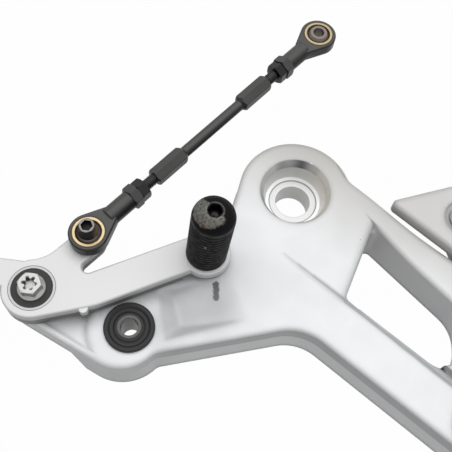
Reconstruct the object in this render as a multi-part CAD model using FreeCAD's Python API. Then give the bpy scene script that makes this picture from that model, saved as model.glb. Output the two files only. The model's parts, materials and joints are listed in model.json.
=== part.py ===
import FreeCAD, Part
import math
import os

from FreeCAD import Vector

# Footrest bracket of a motorcycle with its gear shift lever, in millimetres.
# It lies on its back: the origin is on the upper frame bore's axis at the back face, +Z points outwards.

# Clearances
press_gap = 0.02
thread_gap = 0.05
running_gap = 0.05
lever_gap = 0.6

# Upper frame boss and its counterbore
boss_radius = 28.85
boss_height = 26.0
boss_flat_radius = 22.0
frame_bore_radius = 9.1
frame_bore_length = 14.0
counterbore_rim_radius = 18.4
counterbore_neck_radius = 16.2
counterbore_rim_depth = 4.0
counterbore_floor_radius = 14.6
seat_ring_radius = 12.6
seat_ring_step = 0.5

# Outer face, which falls away from the boss to the arms
face_height = 19.5
face_fall_length = 54.0
edge_bevel = 1.2
parting_height = 9.5
foot_spread = 2.0

# Lever pivot and rubber bush on the left arm
pivot_at = Vector(-119.5, -70.8, 0)
pivot_boss_radius = 12.2
pivot_pad_radius = 10.5
left_arm_lift = 7.5
left_arm_lift_x = -92.0
bush_at = Vector(-72.5, -80.9, 0)
bush_boss_offset = Vector(-4.0, 0.9, 0)
bush_boss_radius = 20.8
bush_pad_radius = 19.5
web_drop = 2.0
web_rim = 3.0

# Middle of the casting
flank_at = Vector(-31.5, -16.0, 0)
shoulder_at = Vector(-58.0, -52.0, 0)
flank_round = 20.0
belly_at = Vector(9.8, -69.55, 0)
belly_round = 25.0
belly_angle = 17.7

# Arms round the window; the two sides of the upper arm spread as they leave the boss
upper_edge_at = Vector(41.0, 1.45, 0)
upper_arm_angle = 31.8
upper_arm_length = 84.0
upper_inner_at = Vector(62.5, -34.35, 0)
upper_inner_angle = 40.0
upper_inner_draft = 9.6
lower_arm_angle = 33.0
lower_arm_width = 26.6
lower_arm_length = 96.0
neck_round = 9.0
bush_neck_round = 8.0
window_heel_x = 30.2
window_lean = 16.4
window_end_x = 88.2
window_round = 3.5
window_end_round = 11.0
window_shoulder_round = 20.0
window_roll = 4.0

# Lower end: frame bolt boss and footrest boss
lower_boss_radius = 15.0
lower_bore_radius = 5.25
lower_boss_height = 22.0
footrest_boss_radius = 18.0
footrest_bore_radius = 6.0
footrest_boss_height = 24.0

# Dip beside the window and ramp pocket beside the bush
dip_hinge = (Vector(-6.0, -34.3, 0), Vector(27.0, -8.0, 0))
dip_angle = 12.0
crease_run = 4.75
crease_bevel_angle = 45.0
pocket_rise = (Vector(-30.2, -57.8, 0), Vector(-18.0, -69.7, 0))
pocket_ramp_angle = 14.0
pocket_left = (Vector(-55.5, -85.0, 0), Vector(-61.5, -64.0, 0))
pocket_left_angle = 35.0
pocket_sill = (Vector(-18.0, -69.7, 0), Vector(-54.7, -84.8, 0))
pocket_sill_angle = 45.0
pocket_head = (Vector(-62.0, -60.5, 0), Vector(-28.0, -49.0, 0))
pocket_head_angle = 60.0

# Cored back
core_depth = 7.0
core_wall = 4.5

# Heel guard, its lug and screws; places are measured from the lower frame boss
guard_base = 19.5
guard_thickness = 7.0
guard_wall = 2.6
guard_tip_place = Vector(-56.5, 56.4, 0)
guard_top_angle = 22.6
guard_top_length = 57.0
guard_low_angle = 34.6
guard_low_length = 72.0
guard_far_place = Vector(19.5, 37.6, 0)
guard_tip_round = 2.6
guard_corner_round = 10.0
guard_edge_bevel = 1.4
guard_screw_places = (Vector(-17.7, 51.8, 0), Vector(-0.5, 39.6, 0))
guard_screw_radius = 3.0
guard_screw_head_radius = 7.3
guard_screw_head_height = 3.4
guard_screw_head_bevel = 2.0
guard_screw_socket = 4.0
guard_spot_radius = 10.0
guard_spot_depth = 1.2
lug_radius = 8.0
lug_thickness = 10.0
lug_root_place = Vector(-4.7, 17.3, 0)

# Sealed ball bearing in the lever hub
bearing_radius = 11.0
bearing_bore_radius = 4.0
bearing_width = 7.0
bearing_pitch_radius = 7.5
bearing_ball_radius = 1.98
bearing_ball_count = 7
inner_ring_radius = 6.0
outer_ring_land_radius = 9.0
seal_seat_radius = 9.8
seal_thickness = 0.6
seal_depth = 0.25
seal_lip_gap = 0.2
groove_mouth = 3.2
groove_floor = 1.7
cage_wall = 0.9
cage_height = 4.9

# Shift lever
lever_top = 30.0
hub_radius = 14.6
arm_thickness = 8.2
arm_width = 16.75
arm_lean = 29.4
arm_side_shift = 2.33
arm_bend_length = 58.0
arm_bend_round = 30.0
arm_edge_bevel = 0.7
ball_at = Vector(-97.5, -42.3, 0)
ball_arm_width = 14.4
ball_arm_shift = -0.1
toe_at = Vector(-41.0, -41.7, 0)
toe_boss_radius = 12.0
toe_thickness = 5.4
toe_relief_radius = 16.0
tail_width = 14.2
tail_length = 23.5
tail_shift = 5.9
notch_round = 3.1
shoulder_round = 18.0
nub_radius = 2.2
nub_along = 21.8

# Pivot bolt and sleeve
bolt_radius = 3.0
bolt_flange_radius = 6.6
bolt_flange_height = 1.6
bolt_hex_width = 10.0
bolt_head_height = 6.4
bolt_recess_radius = 2.9
bolt_recess_depth = 2.6
sleeve_wall = 0.9
sleeve_shoulder_radius = 5.9

# Toe peg
peg_radius = 10.0
peg_length = 46.65
peg_dome_round = 7.5
peg_lean = 3.0
peg_stub_radius = 4.0
peg_stub_length = 5.0
peg_recess_radius = 3.4
peg_recess_depth = 5.0

# Rod ends and ball joints
joint_ball_radius = 6.35
joint_ball_width = 9.0
joint_bore_radius = 3.0
race_radius = 8.2
race_lip_radius = 6.3
race_lip_depth = 0.9
rod_end_radius = 9.8
rod_end_width = 6.75
rod_end_chamfer = 0.7
shank_radius = 4.9
shank_length = 26.5
shank_start = 12.2
collar_width = 11.0
collar_length = 5.0
ball_bolt_head_radius = 5.0
ball_bolt_top_radius = 3.7
ball_bolt_head_height = 6.0
ball_bolt_socket_width = 5.0
ball_bolt_socket_depth = 3.0

# Shift rod between the two rod ends
rod_angle = 53.15
rod_length = 169.5
rod_radius = 2.95
rod_hex_width = 8.2
rod_hex_length = 20.9
rod_hex_chamfer = 2.0
stud_radius = 2.75
stud_gap_length = 6.8
stud_depth = 12.0
nut_width = 10.0
nut_length = 5.0
hex_chamfer_angle = 30.0

# Rubber bush and its sleeve
bush_flange_radius = 12.2
bush_flange_height = 2.0
bush_body_radius = 9.0
bush_lip_width = 2.0
bush_groove_depth = 1.0
bush_back = 3.0
bush_sleeve_radius = 5.8
bush_sleeve_bore_radius = 4.3

def at(point, height):
    """Return a plan point lifted to a height."""
    return Vector(point.x, point.y, height)


def heading(angle):
    """Return the unit vector in plan at an angle in degrees."""
    return Vector(math.cos(math.radians(angle)), math.sin(math.radians(angle)), 0)


def disc(center, radius, low, high):
    """Return an upright cylinder."""
    return Part.makeCylinder(radius, high - low, at(center, low))


def rounded_wire(corners):
    """Return a plan outline whose corners (point, radius) are rounded by tangent arcs."""
    edges = []
    starts = []
    ends = []
    count = len(corners)
    for index, (point, radius) in enumerate(corners):
        before = (corners[index - 1][0] - point).normalize()
        after = (corners[(index + 1) % count][0] - point).normalize()
        half = before.getAngle(after) / 2
        run = radius / math.tan(half)
        middle = point + (before + after).normalize() * (radius / math.sin(half) - radius)
        starts.append(point + before * run)
        ends.append(point + after * run)
        if radius > 0:
            edges.append(Part.Arc(starts[-1], middle, ends[-1]).toShape())
    for index in range(count):
        edges.append(Part.makeLine(ends[index - 1], starts[index]))
    return Part.Wire(Part.__sortEdges__(edges))


def prism(corners, low, high):
    """Return an upright prism with rounded corners."""
    face = Part.Face(rounded_wire(corners))
    face.translate(Vector(0, 0, low))
    return face.extrude(Vector(0, 0, high - low))


def bar(first, first_radius, second, second_radius, low, high):
    """Return the upright solid round two discs and the tangents that join them."""
    along = second - first
    length = along.Length
    side = math.acos((first_radius - second_radius) / length)
    turn = math.atan2(along.y, along.x)
    left = Vector(math.cos(turn + side), math.sin(turn + side), 0)
    right = Vector(math.cos(turn - side), math.sin(turn - side), 0)
    back = along * (-1 / length)
    first_left = first + left * first_radius
    first_right = first + right * first_radius
    second_left = second + left * second_radius
    second_right = second + right * second_radius
    edges = [
        Part.Arc(first_left, first + back * first_radius, first_right).toShape(),
        Part.makeLine(first_right, second_right),
        Part.Arc(second_right, second - back * second_radius, second_left).toShape(),
        Part.makeLine(second_left, first_left),
    ]
    face = Part.Face(Part.Wire(edges))
    face.translate(Vector(0, 0, low))
    return face.extrude(Vector(0, 0, high - low))


def above(start, end, angle):
    """Return the space over a plane through two points that climbs to the left of their line."""
    along = end - start
    left = up.cross(along).normalize()
    climb = left * math.cos(math.radians(angle)) + up * math.sin(math.radians(angle))
    box = Part.makeBox(2 * reach, 2 * reach, reach, Vector(-reach, -reach, 0))
    box.Placement = FreeCAD.Placement(start, FreeCAD.Rotation(up, along.cross(climb)))
    return box


def turned(profile):
    """Return the solid of a closed (radius, height) profile turned about Z."""
    points = [Vector(radius, 0, height) for radius, height in profile]
    face = Part.Face(Part.makePolygon(points + points[:1]))
    return face.revolve(origin, up, 360)


def arc_points(center, radius, first, last, steps):
    """Return points of a profile on an arc between two angles, in even steps."""
    points = []
    for index in range(steps + 1):
        turn = math.radians(first + (last - first) * index / steps)
        points.append((center[0] + radius * math.cos(turn), center[1] + radius * math.sin(turn)))
    return points


def hexagon(width, low, high):
    """Return an upright hexagonal prism by its width across flats."""
    corner = width / math.sqrt(3)
    points = [heading(60 * index) * corner for index in range(6)]
    face = Part.Face(Part.makePolygon(points + points[:1]))
    face.translate(Vector(0, 0, low))
    return face.extrude(Vector(0, 0, high - low))


def chamfered_hexagon(width, low, high):
    """Return a hexagonal prism whose corners are turned off at both ends."""
    corner = width / math.sqrt(3)
    drop = (corner - width / 2) * math.tan(math.radians(hex_chamfer_angle))
    top = (width / 2, high)
    bottom = (width / 2, low)
    blank = turned([(0, low), bottom, (corner, low + drop), (corner, high - drop), top, (0, high)])
    return hexagon(width, low, high).common(blank)


def six_lobes(radius, low, high):
    """Return a six-lobe key recess."""
    lobe = radius * 0.3
    recess = Part.makeCylinder(radius * 0.78, high - low, Vector(0, 0, low))
    for index in range(6):
        center = heading(60 * index) * (radius - lobe)
        recess = recess.fuse(disc(center, lobe, low, high))
    return recess.removeSplitter()


def upright_edges(shape, places):
    """Return the upright edges of a shape that stand at the plan places."""
    found = []
    for edge in shape.Edges:
        first = edge.Vertexes[0].Point
        last = edge.Vertexes[-1].Point
        if abs(first.z - last.z) < 1 or (at(first, 0) - at(last, 0)).Length > 0.01:
            continue
        if any((at(first, 0) - place).Length < 0.05 for place in places):
            found.append(edge)
    return found


# Worked out from the sizes above
reach = 400.0
origin = Vector(0, 0, 0)
up = Vector(0, 0, 1)
hub_bottom = face_height + lever_gap
arm_bottom = lever_top - arm_thickness
bearing_bottom = lever_top - bearing_width
bearing_middle = lever_top - bearing_width / 2
ball_height = lever_top + joint_ball_width / 2
collar_end = shank_length + collar_length
nut_end = collar_end + nut_length
rod_start = nut_end + stud_gap_length
bush_center = bush_at + bush_boss_offset
upper_fall = heading(-upper_arm_angle)
upper_across = heading(90 - upper_arm_angle)
lower_fall = heading(-lower_arm_angle)
lower_across = heading(90 - lower_arm_angle)
upper_inner_fall = heading(-upper_inner_angle)
upper_inner_across = heading(90 - upper_inner_angle)
lower_boss_edge = upper_edge_at + upper_fall * upper_arm_length
lower_boss_at = lower_boss_edge - upper_across * lower_boss_radius
guard_tip = lower_boss_at + guard_tip_place
guard_far_at = lower_boss_at + guard_far_place
guard_screw_at = [lower_boss_at + place for place in guard_screw_places]
lug_root = lower_boss_at + lug_root_place
crease_at = belly_at + lower_across * lower_arm_width
window_heel = crease_at + lower_fall * ((window_heel_x - crease_at.x) / lower_fall.x)
crease_heel = window_heel - lower_across * crease_run
footrest_boss_edge = belly_at + lower_fall * lower_arm_length
footrest_boss_at = footrest_boss_edge + lower_across * footrest_boss_radius
toe_way = heading(arm_lean)
toe_across = heading(arm_lean + 90)


def crossing(first, first_way, second, second_way):
    """Return where two plan lines, each a point and a direction, cross."""
    gap = second - first
    turn = first_way.x * second_way.y - first_way.y * second_way.x
    return first + first_way * ((gap.x * second_way.y - gap.y * second_way.x) / turn)


def leave_disc(center, radius, point, way):
    """Return where a plan line that starts inside a disc leaves it."""
    gap = point - center
    middle = gap.dot(way)
    return point + way * (math.sqrt(middle ** 2 - gap.dot(gap) + radius ** 2) - middle)


def tangent_point(center, radius, point):
    """Return where the clockwise tangent from an outer point touches a disc."""
    gap = point - center
    turn = math.atan2(gap.y, gap.x) - math.acos(radius / gap.Length)
    return center + Vector(math.cos(turn), math.sin(turn), 0) * radius


def casting_outline():
    """Return the plan form of the casting at full height, without the window."""
    belly_rise = heading(belly_angle)
    belly_start = belly_at - belly_rise * (belly_at - bush_center).Length
    upper_foot = upper_across * upper_edge_at.dot(upper_across)
    body = prism([
        (tangent_point(origin, boss_radius, flank_at), 0),
        (flank_at, flank_round),
        (shoulder_at, flank_round),
        (bush_center + Vector(0, bush_boss_radius, 0), 0),
        (belly_start, 0),
        (belly_at, belly_round),
        (footrest_boss_edge, 0),
        (footrest_boss_at, 0),
        (lower_boss_at, 0),
        (lower_boss_edge, 0),
        (upper_foot, 0),
    ], 0, boss_height)
    plan = body.fuse([
        disc(origin, boss_radius, 0, boss_height),
        bar(pivot_at, pivot_boss_radius, bush_center, bush_boss_radius, 0, boss_height),
        bar(lower_boss_at, lower_boss_radius, footrest_boss_at, footrest_boss_radius, 0, boss_height),
    ]).removeSplitter()
    neck = leave_disc(origin, boss_radius, upper_foot, upper_fall)
    bush_neck = leave_disc(bush_center, bush_boss_radius, belly_start, belly_rise)
    plan = plan.makeFillet(neck_round, upright_edges(plan, [neck]))
    return plan.makeFillet(bush_neck_round, upright_edges(plan, [bush_neck]))


def flared_foot(outline):
    """Return the foot of the casting's wall, which spreads outwards below the parting line."""
    floor = [face for face in outline.Faces if face.BoundBox.ZMax < 0.01][0]
    spread = floor.makeOffset2D(foot_spread, 0, False, False, False).OuterWire
    parting = floor.OuterWire.translated(Vector(0, 0, parting_height))
    return Part.makeLoft([spread, parting], True, True)


def window_corners(height):
    """Return the corners of the opening between the arms at a height, where its upper side has leaned out."""
    side = upper_inner_at + upper_inner_across * (height * math.tan(math.radians(upper_inner_draft)))
    end_line = Vector(window_end_x, 0, 0)
    return [
        (window_heel, window_round),
        (crossing(window_heel, lower_fall, end_line, Vector(0, 1, 0)), window_end_round),
        (crossing(side, upper_inner_fall, end_line, Vector(0, 1, 0)), window_shoulder_round),
        (crossing(window_heel, heading(90 - window_lean), side, upper_inner_fall), window_round),
    ]


def window():
    """Return the opening between the two arms."""
    sections = []
    for height in (-1, boss_height + 1):
        sections.append(rounded_wire(window_corners(height)).translated(Vector(0, 0, height)))
    return Part.makeLoft(sections, True, True)


def fall_curve():
    """Return the curve by which the outer face falls from the boss to the arms."""
    start = Vector(boss_flat_radius, 0, boss_height)
    end = Vector(boss_flat_radius + face_fall_length, 0, face_height)
    ease = Vector(face_fall_length * 0.4, 0, 0)
    curve = Part.BezierCurve()
    curve.setPoles([start, start + ease, end - ease, end])
    return curve


def face_at(point):
    """Return a plan point lifted to the outer face."""
    curve = fall_curve()
    near = curve.value(curve.parameter(Vector(point.Length, 0, face_height)))
    return at(point, near.z)


def over_face():
    """Return the space above the outer face."""
    curve = fall_curve()
    start = curve.value(0)
    end = curve.value(1)
    corners = [end, Vector(reach, 0, face_height), Vector(reach, 0, reach), Vector(0, 0, reach)]
    corners += [Vector(0, 0, boss_height), start]
    edges = [curve.toShape()] + Part.makePolygon(corners).Edges
    return Part.Face(Part.Wire(edges)).revolve(origin, up, 360)


def bevelled_rim(shape):
    """Return a shape whose edges between its upright walls and its outer face are bevelled."""
    rim = []
    for edge in shape.Edges:
        middle = edge.valueAt((edge.FirstParameter + edge.LastParameter) / 2)
        tilts = []
        for face in shape.ancestorsOfType(edge, Part.Face):
            tilts.append(abs(face.normalAt(*face.Surface.parameter(middle)).z))
        if middle.z > face_height / 2 and min(tilts) < 0.2 and max(tilts) > 0.5:
            rim.append(edge)
    return shape.makeChamfer(edge_bevel, rim)


def between_arms():
    """Return the space that the crease bounds towards the lower arm and the drafted wall towards the upper one."""
    crease = above(face_at(crease_heel), face_at(dip_hinge[0]), crease_bevel_angle)
    wall = above(at(upper_inner_at, 0), at(upper_inner_at + upper_inner_fall, 0), 90 - upper_inner_draft)
    return crease.common(wall)


def window_dip():
    """Return the cut that sinks the face beside the window, with a bevelled crease towards the lower arm."""
    first, last = dip_hinge
    near = disc(origin, window_heel.Length + window_round, 0, reach)
    return near.common(above(face_at(first), face_at(last), dip_angle)).common(between_arms())


def arm_bevel():
    """Return the cut that carries the crease on along the lower arm's side of the window."""
    end = crease_heel + lower_fall * ((window_end_x - crease_heel.x) / lower_fall.x)
    side = lower_across * (crease_run * 1.5)
    strip = prism([(crease_heel, 0), (end, 0), (end + side, 0), (crease_heel + side, 0)], 0, reach)
    return strip.common(above(face_at(end), face_at(crease_heel), crease_bevel_angle))


def edge_roll():
    """Return the cut that rolls over the long edge between the dip and the window."""
    hinge = [face_at(point) for point in dip_hinge]
    line = hinge[1] - hinge[0]
    left = up.cross(line).normalize()
    lean = math.radians(dip_angle)
    dip_normal = line.cross(left * math.cos(lean) + up * math.sin(lean)).normalize()
    wall_normal = heading(-window_lean)
    along = dip_normal.cross(wall_normal).normalize()
    way = heading(90 - window_lean)
    foot = window_heel - way * window_round
    foot = foot - up * ((foot - hinge[0]).dot(dip_normal) / dip_normal.z)
    both = wall_normal + dip_normal
    center = foot - both * (window_roll / (1 + wall_normal.dot(dip_normal)))
    on_wall = center + wall_normal * window_roll
    on_dip = center + dip_normal * window_roll
    past_wall = wall_normal * (2 * window_roll)
    corners = [on_wall, on_wall + past_wall, foot + past_wall + dip_normal, on_dip + dip_normal, on_dip]
    profile = Part.makePolygon(corners).Edges
    profile.append(Part.Arc(on_dip, center + both.normalize() * window_roll, on_wall).toShape())
    return Part.Face(Part.Wire(profile)).extrude(along * window_heel.Length).common(between_arms())


def ramp_pocket():
    """Return the pocket beside the bush, deep at its left and running out to the right."""
    walls = [
        (pocket_rise, pocket_ramp_angle),
        (pocket_left, pocket_left_angle),
        (pocket_sill, pocket_sill_angle),
        (pocket_head, pocket_head_angle),
    ]
    pocket = Part.makeBox(2 * reach, 2 * reach, reach, Vector(-reach, -reach, 0))
    for (start, end), angle in walls:
        pocket = pocket.common(above(at(start, face_height), at(end, face_height), angle))
    return pocket


def sunk_web():
    """Return the cut that leaves a rim, the pivot pad and the bush pad proud of the left arm."""
    low = face_height - web_drop
    first = pivot_boss_radius - web_rim
    second = bush_boss_radius - web_rim
    web = bar(pivot_at, first, bush_center, second, low, reach)
    pad = Part.makeCone(bush_pad_radius + web_drop, bush_pad_radius, web_drop, at(bush_at, low))
    web = web.cut([
        pad,
        disc(bush_at, bush_pad_radius, low, reach),
        disc(pivot_at, pivot_pad_radius, low, reach),
    ])
    return web.cut(Part.makeBox(reach, 2 * reach, 2 * reach, Vector(bush_at.x, -reach, -reach)))


def arm_lift():
    """Return the cut that thins the left arm from behind."""
    slope_end = left_arm_lift_x - left_arm_lift
    points = [
        Vector(-reach, -reach, -1),
        Vector(left_arm_lift_x + 1, -reach, -1),
        Vector(slope_end, -reach, left_arm_lift),
        Vector(-reach, -reach, left_arm_lift),
    ]
    return Part.Face(Part.makePolygon(points + points[:1])).extrude(Vector(0, 2 * reach, 0))


def back_cores(outline):
    """Return the pockets that lighten the back, inside the walls, bosses and ribs."""
    floor = [face for face in outline.Faces if face.BoundBox.ZMax < 0.01][0]
    inside = floor.makeOffset2D(-core_wall, 0, False, False, False)
    cores = inside.extrude(Vector(0, 0, core_depth))
    keep = [
        disc(origin, boss_radius - core_wall, 0, core_depth),
        disc(pivot_at, pivot_pad_radius, 0, core_depth),
        disc(bush_at, bush_body_radius + core_wall, 0, core_depth),
        disc(lower_boss_at, lower_bore_radius + core_wall, 0, core_depth),
        disc(footrest_boss_at, footrest_bore_radius + core_wall, 0, core_depth),
        bar(origin, core_wall / 2, belly_at, core_wall / 2, 0, core_depth),
        bar(belly_at, core_wall / 2, bush_at, core_wall / 2, 0, core_depth),
        bar(lower_boss_at, core_wall / 2, footrest_boss_at, core_wall / 2, 0, core_depth),
    ]
    return cores.cut(keep)


def guard_lug():
    """Return the lug behind the heel guard that its screws go into."""
    low = guard_base - lug_thickness
    first, second = guard_screw_at
    return bar(first, lug_radius, second, lug_radius, low, guard_base).fuse([
        bar(first, lug_radius, lug_root, lug_radius, low, guard_base),
        bar(second, lug_radius, lug_root, lug_radius, low, guard_base),
    ])


def frame_bore():
    """Return the counterbored hole of the upper frame bolt."""
    floor = frame_bore_length
    return turned([
        (0, -1),
        (frame_bore_radius, -1),
        (frame_bore_radius, floor - seat_ring_step),
        (seat_ring_radius, floor - seat_ring_step),
        (seat_ring_radius, floor),
        (counterbore_floor_radius, floor),
        (counterbore_neck_radius, boss_height - counterbore_rim_depth),
        (counterbore_rim_radius, boss_height),
        (counterbore_rim_radius, boss_height + 1),
        (0, boss_height + 1),
    ])


def make_casting():
    """Return the bracket casting."""
    outline = casting_outline()
    cores = back_cores(outline.cut(prism(window_corners(0), -1, reach)))
    casting = outline.fuse(flared_foot(outline)).cut(window())
    casting = bevelled_rim(casting.cut(over_face()).removeSplitter())
    for tool in (window_dip(), edge_roll(), arm_bevel(), ramp_pocket()):
        casting = casting.cut(tool)
    casting = casting.fuse([
        disc(lower_boss_at, lower_boss_radius, 0, lower_boss_height),
        disc(footrest_boss_at, footrest_boss_radius, 0, footrest_boss_height),
        guard_lug(),
    ])
    holes = [
        frame_bore(),
        disc(pivot_at, bolt_radius + thread_gap, -1, reach),
        disc(bush_at, bush_body_radius + press_gap, -1, reach),
        disc(lower_boss_at, lower_bore_radius, -1, reach),
        disc(footrest_boss_at, footrest_bore_radius, -1, reach),
    ]
    for place in guard_screw_at:
        holes.append(disc(place, guard_screw_radius + thread_gap, -1, reach))
    for tool in [sunk_web(), arm_lift(), cores] + holes:
        casting = casting.cut(tool)
    return casting


def make_heel_guard():
    """Return the heel guard, hollow behind its face."""
    tip_up = heading(guard_top_angle)
    tip_down = heading(-guard_low_angle)
    plate = prism([
        (guard_tip, guard_tip_round),
        (guard_tip + tip_down * guard_low_length, guard_corner_round),
        (guard_far_at, guard_corner_round),
        (guard_tip + tip_up * guard_top_length, guard_corner_round),
    ], guard_base, guard_base + guard_thickness)
    top = guard_base + guard_thickness
    floor = [face for face in plate.Faces if face.BoundBox.ZMax < guard_base + 0.01][0]
    rim = [edge for edge in plate.Edges if edge.BoundBox.ZMin > top - 0.01]
    hollow = floor.makeOffset2D(-guard_wall, 0, False, False, False)
    hollow = hollow.extrude(Vector(0, 0, guard_thickness - guard_spot_depth - guard_wall))
    hollow = hollow.cut([disc(place, lug_radius, 0, top) for place in guard_screw_at])
    plate = plate.makeChamfer(guard_edge_bevel, rim).cut(hollow)
    for place in guard_screw_at:
        plate = plate.cut(disc(place, guard_spot_radius, top - guard_spot_depth, top + 1))
        plate = plate.cut(disc(place, guard_screw_radius + thread_gap, 0, top))
    return plate


def make_guard_screws():
    """Return the two round-headed screws of the heel guard."""
    seat = guard_base + guard_thickness - guard_spot_depth
    head = Part.makeCylinder(guard_screw_head_radius, guard_screw_head_height, Vector(0, 0, seat))
    rim = [edge for edge in head.Edges if edge.BoundBox.ZMin > seat + 0.01]
    head = head.makeChamfer(guard_screw_head_bevel, rim)
    shank = disc(origin, guard_screw_radius, guard_base - lug_thickness, seat)
    top = seat + guard_screw_head_height
    screw = head.fuse(shank).cut(hexagon(guard_screw_socket, top - guard_screw_head_height * 0.6, top + 1))
    screws = []
    for place in guard_screw_at:
        screws.append(screw.translated(place))
    return Part.makeCompound(screws)


def groove(land, depth):
    """Return the profile of a ball groove in a ring's land, from top to bottom."""
    return [
        (land, bearing_middle + groove_mouth / 2),
        (land + depth, bearing_middle + groove_floor / 2),
        (land + depth, bearing_middle - groove_floor / 2),
        (land, bearing_middle - groove_mouth / 2),
    ]


def make_outer_ring():
    """Return the bearing's outer ring with its two seal seats."""
    step = seal_depth + seal_thickness
    outside = bearing_radius - press_gap
    depth = bearing_pitch_radius + bearing_ball_radius + running_gap - outer_ring_land_radius
    ring = turned([
        (outside, bearing_bottom),
        (outside, lever_top),
        (seal_seat_radius, lever_top),
        (seal_seat_radius, lever_top - step),
        (outer_ring_land_radius, lever_top - step),
    ] + groove(outer_ring_land_radius, depth) + [
        (outer_ring_land_radius, bearing_bottom + step),
        (seal_seat_radius, bearing_bottom + step),
        (seal_seat_radius, bearing_bottom),
    ])
    return ring.translated(pivot_at)


def make_inner_ring():
    """Return the bearing's inner ring."""
    depth = bearing_pitch_radius - bearing_ball_radius - running_gap - inner_ring_radius
    ring = turned([
        (bearing_bore_radius, bearing_bottom),
        (bearing_bore_radius, lever_top),
        (inner_ring_radius, lever_top),
    ] + groove(inner_ring_radius, depth) + [
        (inner_ring_radius, bearing_bottom),
    ])
    return ring.translated(pivot_at)


def make_seal(low):
    """Return a rubber seal that sits in the outer ring and clears the inner one."""
    high = low + seal_thickness
    seal = disc(origin, seal_seat_radius - press_gap, low, high)
    return seal.cut(disc(origin, inner_ring_radius + seal_lip_gap, 0, reach)).translated(pivot_at)


def ball_places():
    """Return the centres of the bearing balls."""
    places = []
    for index in range(bearing_ball_count):
        way = heading(360 / bearing_ball_count * (index + 0.5))
        places.append(at(way * bearing_pitch_radius, bearing_middle))
    return places


def make_balls():
    """Return the bearing balls, turned with few flats because the seals hide them."""
    ball = turned(arc_points((0, 0), bearing_ball_radius, -90, 90, 4))
    balls = [ball.translated(place) for place in ball_places()]
    return Part.makeCompound(balls).translated(pivot_at)


def make_cage():
    """Return the cage that spaces the bearing balls."""
    low = bearing_middle - cage_height / 2
    cage = disc(origin, bearing_pitch_radius + cage_wall / 2, low, low + cage_height)
    cage = cage.cut(disc(origin, bearing_pitch_radius - cage_wall / 2, 0, reach))
    middle = Vector(0, 0, bearing_middle)
    pockets = []
    for place in ball_places():
        way = place - middle
        pockets.append(Part.makeCylinder(bearing_ball_radius + running_gap, bearing_radius, middle, way))
    return cage.cut(pockets).translated(pivot_at)


def make_pivot_sleeve():
    """Return the shouldered sleeve that carries the bearing on the pivot bolt."""
    inside = bearing_bore_radius - sleeve_wall
    outside = bearing_bore_radius - press_gap
    sleeve = turned([
        (inside, face_height),
        (sleeve_shoulder_radius, face_height),
        (sleeve_shoulder_radius, bearing_bottom),
        (outside, bearing_bottom),
        (outside, lever_top),
        (inside, lever_top),
    ])
    return sleeve.translated(pivot_at)


def make_pivot_bolt():
    """Return the flanged hexagon bolt with a six-lobe recess."""
    top = lever_top + bolt_head_height
    flange = turned([
        (0, left_arm_lift + 1),
        (bolt_radius, left_arm_lift + 1),
        (bolt_radius, lever_top),
        (bolt_flange_radius, lever_top),
        (bolt_flange_radius, lever_top + bolt_flange_height * 0.5),
        (bolt_hex_width / 2, lever_top + bolt_flange_height * 1.4),
        (0, lever_top + bolt_flange_height * 1.4),
    ])
    bolt = flange.fuse(chamfered_hexagon(bolt_hex_width, lever_top + 0.1, top))
    return bolt.cut(six_lobes(bolt_recess_radius, top - bolt_recess_depth, top + 1)).translated(pivot_at)


def on_peg_axis(shape):
    """Return a shape made along Z from its foot, set on the leaning axis of the toe peg."""
    leaning = shape.copy()
    leaning.rotate(origin, Vector(0, 1, 0), peg_lean)
    leaning.translate(at(toe_at, lever_top))
    return leaning


def lever_plan():
    """Return the lever's arms and hub before its holes."""
    ball_way = (ball_at - pivot_at).normalize()
    ball_side = ball_way.cross(up)
    half = ball_arm_width / 2
    ball_start = pivot_at + ball_side * ball_arm_shift
    ball_end = ball_at + ball_side * ball_arm_shift
    mid_line = toe_at + toe_across * arm_side_shift
    high_edge = mid_line + toe_across * (arm_width / 2)
    low_edge = mid_line - toe_across * (arm_width / 2)
    bend = low_edge - toe_way * arm_bend_length
    foot = tangent_point(pivot_at, hub_radius, bend)
    notch = crossing(ball_start + ball_side * half, ball_way, high_edge, toe_way)
    armpit = leave_disc(pivot_at, hub_radius, ball_start - ball_side * half, ball_way)
    tail_start = pivot_at + Vector(0, tail_shift, 0)
    tail_end = tail_start - Vector(tail_length, 0, 0)
    nub = foot + (bend - foot).normalize() * nub_along
    arms = prism([
        (foot, 0),
        (bend, arm_bend_round),
        (low_edge, 0),
        (high_edge, 0),
        (notch, notch_round),
        (ball_end + ball_side * half, 0),
        (ball_end, 0),
        (pivot_at, 0),
    ], arm_bottom, lever_top)
    lever = arms.fuse([
        disc(pivot_at, hub_radius, arm_bottom, lever_top),
        bar(ball_start, half, ball_end, half, arm_bottom, lever_top),
        disc(toe_at, toe_boss_radius, arm_bottom, lever_top),
        bar(tail_start, tail_width / 2, tail_end, tail_width / 2, arm_bottom, lever_top),
    ]).removeSplitter()
    lever = lever.makeFillet(shoulder_round, upright_edges(lever, [armpit]))
    rim = [edge for edge in lever.Edges if edge.BoundBox.ZMin > lever_top - 0.01]
    lever = lever.makeChamfer(arm_edge_bevel, rim)
    hub = disc(pivot_at, hub_radius, hub_bottom, arm_bottom)
    return lever.fuse([hub, disc(nub, nub_radius, arm_bottom, lever_top - arm_edge_bevel)])


def make_lever():
    """Return the shift lever with its bearing seat and threads."""
    stub_hole = Part.makeCylinder(peg_stub_radius + thread_gap, reach, Vector(0, 0, -reach / 2))
    return lever_plan().cut([
        disc(pivot_at, bearing_radius, bearing_bottom, reach),
        disc(pivot_at, seal_seat_radius, 0, reach),
        disc(ball_at, joint_bore_radius + thread_gap, 0, reach),
        on_peg_axis(stub_hole),
        disc(toe_at, toe_relief_radius, 0, lever_top - toe_thickness),
    ]).removeSplitter()


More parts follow.
